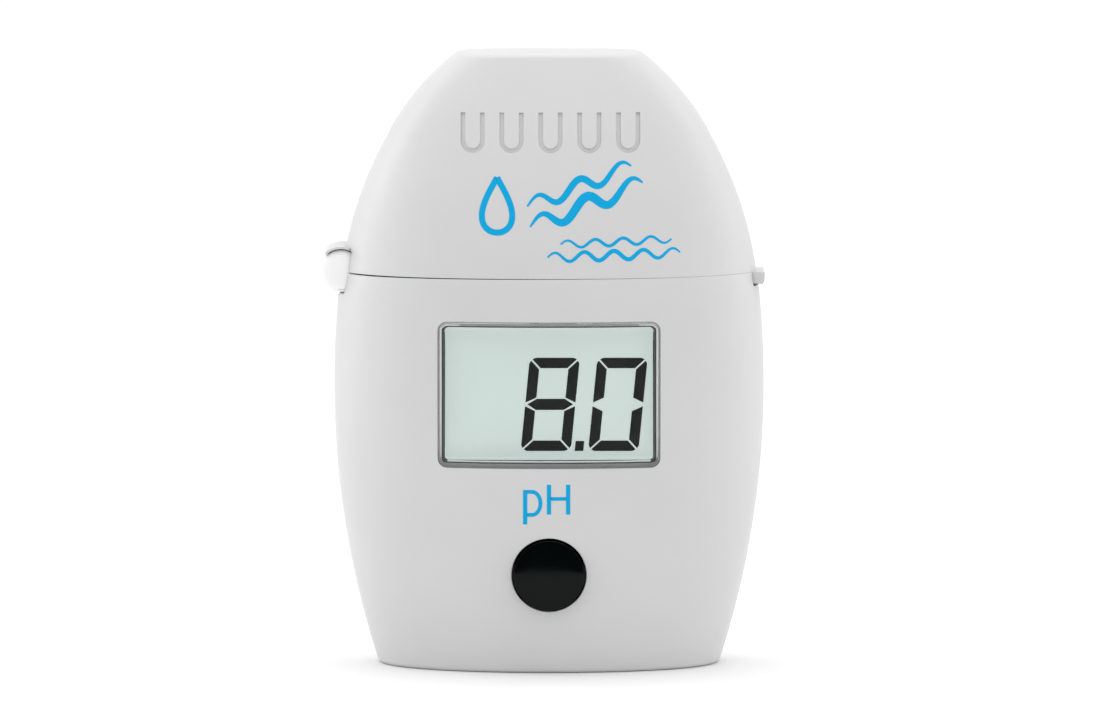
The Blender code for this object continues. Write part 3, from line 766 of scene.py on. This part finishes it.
def latch_tab():
    """The finger tab that hangs over the case's edge on the right."""
    half, edge = 5.0, 0.03
    outline = [(28.35, 53.85), (29.9, 53.7), (30.14, 54.1), (30.22, 55.2), (30.08, 55.36)]
    outline += [(28.42, 55.44), (28.3, 56.3), (27.6, 56.3), (27.6, 55.5), (28.3, 55.38)]
    bm = bmesh.new()
    skin_loops(bm, [[(x, y, z) for x, z in outline] for y in (half, -half)])
    face_outwards(bm)
    bmesh.ops.bevel(bm, geom=bm.edges[:], offset=edge, segments=2, affect="EDGES", profile=0.5)
    return piece("tab", bm)


# ------------------------------------------------------------ window, display


def window_lens():
    """The clear lens: flush with the case, bowed like it, with a sloped rim all round."""
    half_x, low, high, corner = WINDOW
    fit, thick, rows = 0.2, 1.1, 12

    def ring(draw_in, sink):
        return on_skin(rounded_box(half_x - fit, low + fit, high - fit, corner, -draw_in), sink)

    rim_in, face_sink, middle_in = 0.95, 0.05, 9.85
    front = [(0.0, thick), (0.0, 0.62), (0.05, 0.5), (0.72, 0.12), (0.82, 0.07), (rim_in, face_sink)]
    front += [(rim_in + (middle_in - rim_in) * i / rows, face_sink) for i in range(1, rows + 1)]
    back = [middle_in - 9.0 * i / rows for i in range(rows + 1)] + [0.4]
    bm = bmesh.new()
    outer = skin_loops(bm, [ring(draw_in, sink) for draw_in, sink in front], cap_ends=False)
    bm.faces.new(outer[-1])
    inner = skin_loops(bm, [ring(draw_in, thick) for draw_in in back], cap_ends=False)
    bm.faces.new(inner[0][::-1])
    bridge(bm, inner[-1], outer[0])
    face_outwards(bm)
    lens = piece("window_lens", bm, WINDOW_CLEAR, smooth_to=30)
    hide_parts("display_window")
    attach(lens, "case")


def window_trim():
    """The grey seat behind the lens's rim, its dark inner lip and a glowing white stroke on its sides. The
    seat's faint glow is painted light, the lip is a painted shadow, and the stroke is a painted highlight of
    the lens's edge.
    """
    half_x, low, high, corner = WINDOW
    back_y, least_corner = -14.7, 0.35
    seam = (0.88, 0.84)  # where the seat and the lip meet: in from the window's sides, and from its ends
    rings = (
        ("window_seat", (0.05, 0.05), seam, 1.4, SEAT_GREY),
        ("window_lip", seam, (1.26, 1.10), 1.55, SHADOW_LIP),
    )
    for name, outer, inner, sink, mat in rings:
        loops = []
        for (in_x, in_z), front in ((outer, False), (outer, True), (inner, True), (inner, False)):
            ring = rounded_box(half_x - in_x, low + in_z, high - in_z, max(corner - in_z, least_corner))
            loops.append(on_skin(ring, sink) if front else [(x, back_y, z) for x, z in ring])
        bm = bmesh.new()
        made = skin_loops(bm, loops, cap_ends=False)
        bridge(bm, made[-1], made[0])
        face_outwards(bm)
        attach(piece(name, bm, mat, smooth_to=20), "case")
    # The painted highlight: a glowing stroke up each side of the window and round its upper corners
    bm = bmesh.new()
    highlight_in, bend, hook, depth = 0.70, 0.75, 1.6, 1.15
    x, top, foot = half_x - highlight_in, high - highlight_in, low + 1.4
    path = line((x, foot), (x, top - bend), 30)
    path += arc((x - bend, top - bend), bend, 0, 90, 10)[1:]
    path += line((x - bend, top), (x - bend - hook, top), 6)[1:]
    for side in (-1, 1):
        beside = [(side * px, pz) for px, pz in path]
        ribbon(bm, beside, swell(0.17, 0.05), 0.0, 0.1, inset=SKIN + depth)
    face_outwards(bm)
    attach(piece("window_edge_highlight", bm, EDGE_HIGHLIGHT), "case")


DIGIT_WIDE = 6.95
DIGIT_HIGH = 13.0
DIGIT_STROKE = 1.46
DIGIT_BAR = 0.775  # half the middle bar's height
DIGIT_GAP = 0.168  # between segments
DIGIT_CORNER = 0.85
DIGIT_TOP_Z = 44.15
DIGITS = ((-3.3, "abcdefg"), (6.05, "abcdef"))  # left edge, and the segments that are on
SLANT = math.tan(math.radians(5.6))
SEGMENT_Y = (LCD_FACE_Y - 0.06, LCD_FACE_Y - 0.03)


def digit_segments(which):
    """Outlines of one numeral's segments, as (across, down from the top) points.

    The segments have their usual letters: a is the top, then clockwise to f, and g is the middle bar.
    """
    wide, half, stroke = DIGIT_WIDE, DIGIT_HIGH / 2, DIGIT_STROKE
    bar, gap, r = DIGIT_BAR, DIGIT_GAP, DIGIT_CORNER
    eighth = [math.pi / 4 * i / 4 for i in range(5)]
    side_bend = [(r * (1 - math.cos(a)), r * (1 - math.sin(a))) for a in eighth]
    top_bend = [(r * (1 - math.sin(a)) + gap, r * (1 - math.cos(a))) for a in reversed(eighth[:4])]
    mitre = 0.29 * r

    upper_left = [(0, half - 0.25), (stroke, half - bar - gap), (stroke, stroke + gap)]
    upper_left += [(x, z + gap) for x, z in reversed(side_bend[1:])] + side_bend[:1]
    top_left = [(mitre + gap, mitre), *top_bend]
    top = top_left + [(wide - x, z) for x, z in reversed(top_left)]
    top += [(wide - stroke - gap, stroke), (stroke + gap, stroke)]
    tip, shoulder = 0.3, stroke + gap / 2
    middle = [(tip, half), (shoulder, half - bar), (wide - shoulder, half - bar)]
    middle += [(wide - tip, half), (wide - shoulder, half + bar), (shoulder, half + bar)]
    lower_left = [(x, DIGIT_HIGH - z) for x, z in upper_left]
    parts = {
        "a": top,
        "b": [(wide - x, z) for x, z in upper_left],
        "c": [(wide - x, z) for x, z in lower_left],
        "d": [(x, DIGIT_HIGH - z) for x, z in top],
        "e": lower_left,
        "f": upper_left,
        "g": middle,
    }
    return [parts[letter] for letter in which]


def flat_prism(bm, outline, low_y, high_y):
    """A thin plate from an outline of (x, z) points."""
    front, back = [[bm.verts.new((x, y, z)) for x, z in outline] for y in (low_y, high_y)]
    caps = [bm.faces.new(front), bm.faces.new(back[::-1])]
    bridge(bm, front, back)
    bmesh.ops.triangulate(bm, faces=caps)


def numerals():
    """The reading 8.0, as thin dark segments on the display's front glass."""
    bm = bmesh.new()
    for left, which in DIGITS:
        for outline in digit_segments(which):
            points = [(left + x + (DIGIT_HIGH / 2 - z) * SLANT, DIGIT_TOP_Z - z) for x, z in outline]
            flat_prism(bm, points, *SEGMENT_Y)
    x, z, wide, high = 3.55, DIGIT_TOP_Z - DIGIT_HIGH, 1.2, 1.4
    dot = [(x, z), (x + wide, z), (x + wide + high * SLANT, z + high), (x + high * SLANT, z + high)]
    flat_prism(bm, dot, *SEGMENT_Y)
    face_outwards(bm)
    reading = piece("reading", bm, SEGMENT, smooth_to=10)
    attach(reading, "case")


# ---------------------------------------------------------- printed artwork


def printed(name, strokes, body):
    """Strokes of blue ink on the front surface. Each stroke is (points, width)."""
    bm = bmesh.new()
    for points, width in strokes:
        ribbon(bm, points, width, INK_OUT, INK_SINK)
    face_outwards(bm)
    ink = piece(name, bm, INK_BLUE)
    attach(ink, body)


def unit_label():
    """The unit pH, drawn with plain strokes."""
    low, high, pen = 22.6, 26.8, 0.6
    left, right, bar_z = 0.0, 2.66, 24.8
    stem, stem_low, stem_high = -3.31, 21.2, 26.05
    bowl_x, bowl_z, bowl, narrow = -2.35, 24.17, 1.62, 0.72
    bowl_top, bowl_foot = bowl_z + bowl, bowl_z - bowl
    curve = line((stem, bowl_top), (bowl_x, bowl_top), 4)
    curve += arc((bowl_x, bowl_z), bowl, 90, -90, 24, narrow)[1:]
    curve += line((bowl_x, bowl_foot), (stem, bowl_foot), 4)[1:]
    strokes = [
        (line((left, low), (left, high)), pen),
        (line((right, low), (right, high)), pen),
        (line((left, bar_z), (right, bar_z)), pen * 0.85),
        (line((stem, stem_low), (stem, stem_high)), pen),
        (curve, pen * 0.9),
    ]
    printed("unit_mark", strokes, "case")


def swell(peak, tip=0.25):
    """A stroke's width along it: tip at both ends and peak in the middle."""
    return lambda part: tip + (peak - tip) * math.sin(math.pi * min(max(part, 0.0), 1.0)) ** 0.8


def wave(start, end, crests, height):
    count = 90
    points = []
    for i, (x, z) in enumerate(line(start, end, count)):
        points.append((x, z + height * math.sin(2 * math.pi * crests * i / count)))
    return points


def drop(centre_x, low_z, radius, height):
    """The closed centre line of a water drop's outline."""
    count = 60
    points = []
    for i in range(count + 1):
        turn = 2 * math.pi * i / count
        x = radius * math.sin(turn) * math.sin(turn / 2) ** 1.3
        points.append((centre_x + x, low_z + height * (1 + math.cos(turn)) / 2))
    return points


def lid_artwork():
    """A water drop and rising waves, and a smaller pair of ripples under them."""
    strokes = [
        (drop(-7.2, 61.8, 2.9, 7.6), 0.85),
        (wave((-2.6, 62.6), (13.0, 68.6), 2.5, 1.15), swell(1.25)),
        (wave((-3.0, 65.4), (11.4, 70.9), 2.5, 1.0), swell(0.95)),
        (wave((-0.2, 58.4), (18.2, 58.9), 4.5, 0.62), swell(0.6)),
        (wave((1.6, 60.2), (17.0, 60.8), 4.0, 0.5), swell(0.45)),
    ]
    printed("water_mark", strokes, "lid")


# ----------------------------------------------------- button, hinge, vial


def button():
    """The glossy cap: nearly flat, with a narrow edge, and a flange behind the case's wall."""
    radius, face, flange_r, flange_y, back_y = 4.87, -17.5, 5.9, -14.3, -13.6
    profile = [(0, face), (3.0, face + 0.02), (4.6, face + 0.04), (4.83, face + 0.06), (radius, face + 0.1)]
    profile += [(radius, flange_y), (flange_r, flange_y), (flange_r, back_y), (0, back_y)]
    cap = turned("button_top", "Y", (0, 0, BUTTON_Z), profile, GLOSS, sides=128)
    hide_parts("button_cap")
    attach(cap, "button")


def pin():
    half, radius, chamfer = 5.0, 0.95, 0.2
    tip_r, shank = radius - chamfer, half - chamfer
    profile = [(0, -half), (tip_r, -half), (radius, -shank), (radius, shank), (tip_r, half), (0, half)]
    rod = turned("pin", "Y", HINGE_AXIS, profile, STEEL, sides=48)
    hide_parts("hinge_pin")
    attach(rod, "case")


def screw_cap():
    """The vial's screw cap, with grip ribs round its side."""
    ribs, sides, groove_deep = 48, 384, 0.28
    side_r, bore_r = 10.58, 8.9
    low, ceiling, high = 57.6, 64.0, 67.0
    turns = [2 * math.pi * i / sides for i in range(sides)]

    def ring(radius, z, rib=0.0):
        points = []
        for turn in turns:
            r = radius - groove_deep * rib * (0.5 - 0.5 * math.cos(ribs * turn)) ** 1.5
            points.append((r * math.cos(turn), VIAL_Y + r * math.sin(turn), z))
        return points

    rows = [(low, 0.35, 0), (57.9, 0.1, 0), (58.4, 0.0, 1)]
    rows += [(65.4, 0.0, 1), (66.2, 0.1, 0.3), (66.7, 0.45, 0)]
    loops = [ring(side_r - draw_in, z, rib) for z, draw_in, rib in rows]
    loops += [ring(9.6, high), ring(9.2, high), ring(bore_r, high - 0.25)]
    bm = bmesh.new()
    outside = skin_loops(bm, loops, cap_ends=False)
    bm.faces.new(outside[-1])
    inside = skin_loops(bm, [ring(bore_r, low), ring(bore_r, ceiling)], cap_ends=False)
    bridge(bm, outside[0], inside[0])
    bm.faces.new(inside[1][::-1])
    face_outwards(bm)
    cap = piece("screw_cap", bm, BLACK, smooth_to=50)
    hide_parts("vial_cap")
    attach(cap, "vial_cap")


def glass_vial():
    """The sample vial with rounded heel, shoulder and lip."""
    foot = 22.1
    heel = [(0, foot + 0.25), (8.5, foot + 0.05), (9.8, foot), (10.5, foot + 0.25), (10.95, foot + 0.9)]
    side = [(10.98, 54.0), (10.8, 54.9), (10.3, 55.6), (9.3, 56.3), (8.6, 57.0), (8.4, 57.8)]
    lip = [(8.4, 62.0), (8.2, 62.35), (7.9, 62.4), (7.6, 62.2), (7.45, 61.8)]
    inside = [(7.45, 57.6), (7.8, 56.5), (8.9, 55.5), (9.7, 54.6), (9.85, 53.8)]
    base = [(9.85, foot + 2.2), (9.4, foot + 1.6), (8.5, foot + 1.35), (0, foot + 1.3)]
    profile = heel + side + lip + inside + base
    vial = turned("glass_vial", "Z", VIAL_AXIS, profile, VIAL_CLEAR, sides=128, smooth_to=60)
    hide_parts("vial_glass")
    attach(vial, "case")


def deck():
    """The plate under the lid, with the vial's mouth in it, chamfered, and room for the hinge."""
    low, high, mouth_r, chamfer = 53.4, 54.9, 12.5, 0.4
    plate = outline_solid("deck", WALL + GAP, low, high, 2, mat=DECK_WHITE)
    mouth = [(0, 50), (mouth_r, 50), (mouth_r, high - chamfer), (mouth_r + chamfer, high)]
    mouth += [(mouth_r + chamfer, 60), (0, 60)]
    mouth = turned("mouth", "Z", VIAL_AXIS, mouth)
    room = cylinder("hinge_room", "Y", HINGE_AXIS, 3.65, -6.0, 6.0)
    boolean(plate, [mouth, room])
    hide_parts("deck_plate")
    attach(plate, "case")


# ------------------------------------------------------------------- stage

FLOOR_RADIUS = 880.0  # the floor ends where it is still as bright as the world behind it
FLOOR_DROP = 0.02  # keeps the floor just below the base
WORLD_STRENGTH = 1.04
# The card is seen only in reflections: it darkens the window's glass and the upper part of the button's face
CARD_LOW = (-190, -101, 5.85)
CARD_HIGH = (190, -100, 95)
AIM = Vector((0.14, 0, 42.6))
REACH = 1250.0  # from the camera to what it looks at
FRAME_WIDE = 154.7  # width of the picture at that distance
CAMERA_RISE = math.asin(0.087)
SENSOR_WIDE = 36.0


def plain_material(name, shade):
    mat = bpy.data.materials.new(name)
    mat.use_nodes = True
    shader = mat.node_tree.nodes["Principled BSDF"]
    shader.inputs["Base Color"].default_value = (shade, shade, shade, 1)
    return mat, shader


def stage():
    floor_mat, shader = plain_material("studio_white", 0.86)
    shader.inputs["Roughness"].default_value = 0.75
    bm = bmesh.new()
    bmesh.ops.create_circle(bm, cap_ends=True, segments=160, radius=FLOOR_RADIUS)
    bm.transform(Matrix.Translation((0, 0, -FLOOR_DROP)))
    floor = piece("studio_floor", bm, floor_mat)
    card_mat, shader = plain_material("studio_card", 0.01)
    shader.inputs["Specular IOR Level"].default_value = 0.0
    card = block("studio_card", CARD_LOW, CARD_HIGH, card_mat)
    card.visible_camera = False
    card.visible_diffuse = False
    card.visible_shadow = False


def lamp(name, place, size, power):
    """A rectangular lamp that faces the middle of the part, in metres and watts."""
    middle = Vector((0, 0, 0.045))
    data = bpy.data.lights.new(name, "AREA")
    data.shape = "RECTANGLE"
    data.size, data.size_y = size
    data.energy = power
    obj = bpy.data.objects.new(name, data)
    obj.location = place
    obj.rotation_euler = (middle - Vector(place)).to_track_quat("-Z", "Y").to_euler()
    obj.visible_camera = False
    bpy.context.scene.collection.objects.link(obj)


def lights():
    world = bpy.data.worlds.new("studio")
    bpy.context.scene.world = world
    world.use_nodes = True
    world.node_tree.nodes["Background"].inputs["Color"].default_value = (1, 1, 1, 1)
    world.node_tree.nodes["Background"].inputs["Strength"].default_value = WORLD_STRENGTH
    lamp("left_box", (-0.85, 0.3, 0.35), (0.5, 0.9), 2.3)
    lamp("right_box", (0.85, 0.3, 0.35), (0.5, 0.9), 1.4)
    lamp("top_box", (0, 0.1, 1.1), (1.2, 0.9), 4.2)


def camera():
    data = bpy.data.cameras.new("camera")
    data.sensor_width = SENSOR_WIDE
    data.lens = SENSOR_WIDE * REACH / FRAME_WIDE
    data.clip_end = 20.0
    obj = bpy.data.objects.new("camera", data)
    place = AIM + Vector((0, -math.cos(CAMERA_RISE), math.sin(CAMERA_RISE))) * REACH
    obj.location = place * MM
    obj.rotation_euler = (AIM - place).to_track_quat("-Z", "Y").to_euler()
    bpy.context.scene.collection.objects.link(obj)
    bpy.context.scene.camera = obj


dress_frame()
front_case()
back_case()
hinge_lug("hinge_lug_front", -1)
hinge_lug("hinge_lug_back", 1)
battery_door()
label()
lid()
window_lens()
window_trim()
numerals()
unit_label()
lid_artwork()
button()
pin()
screw_cap()
glass_vial()
deck()
stage()
lights()
camera()
bpy.context.scene.view_settings.view_transform = "Standard"
bpy.context.view_layer.update()
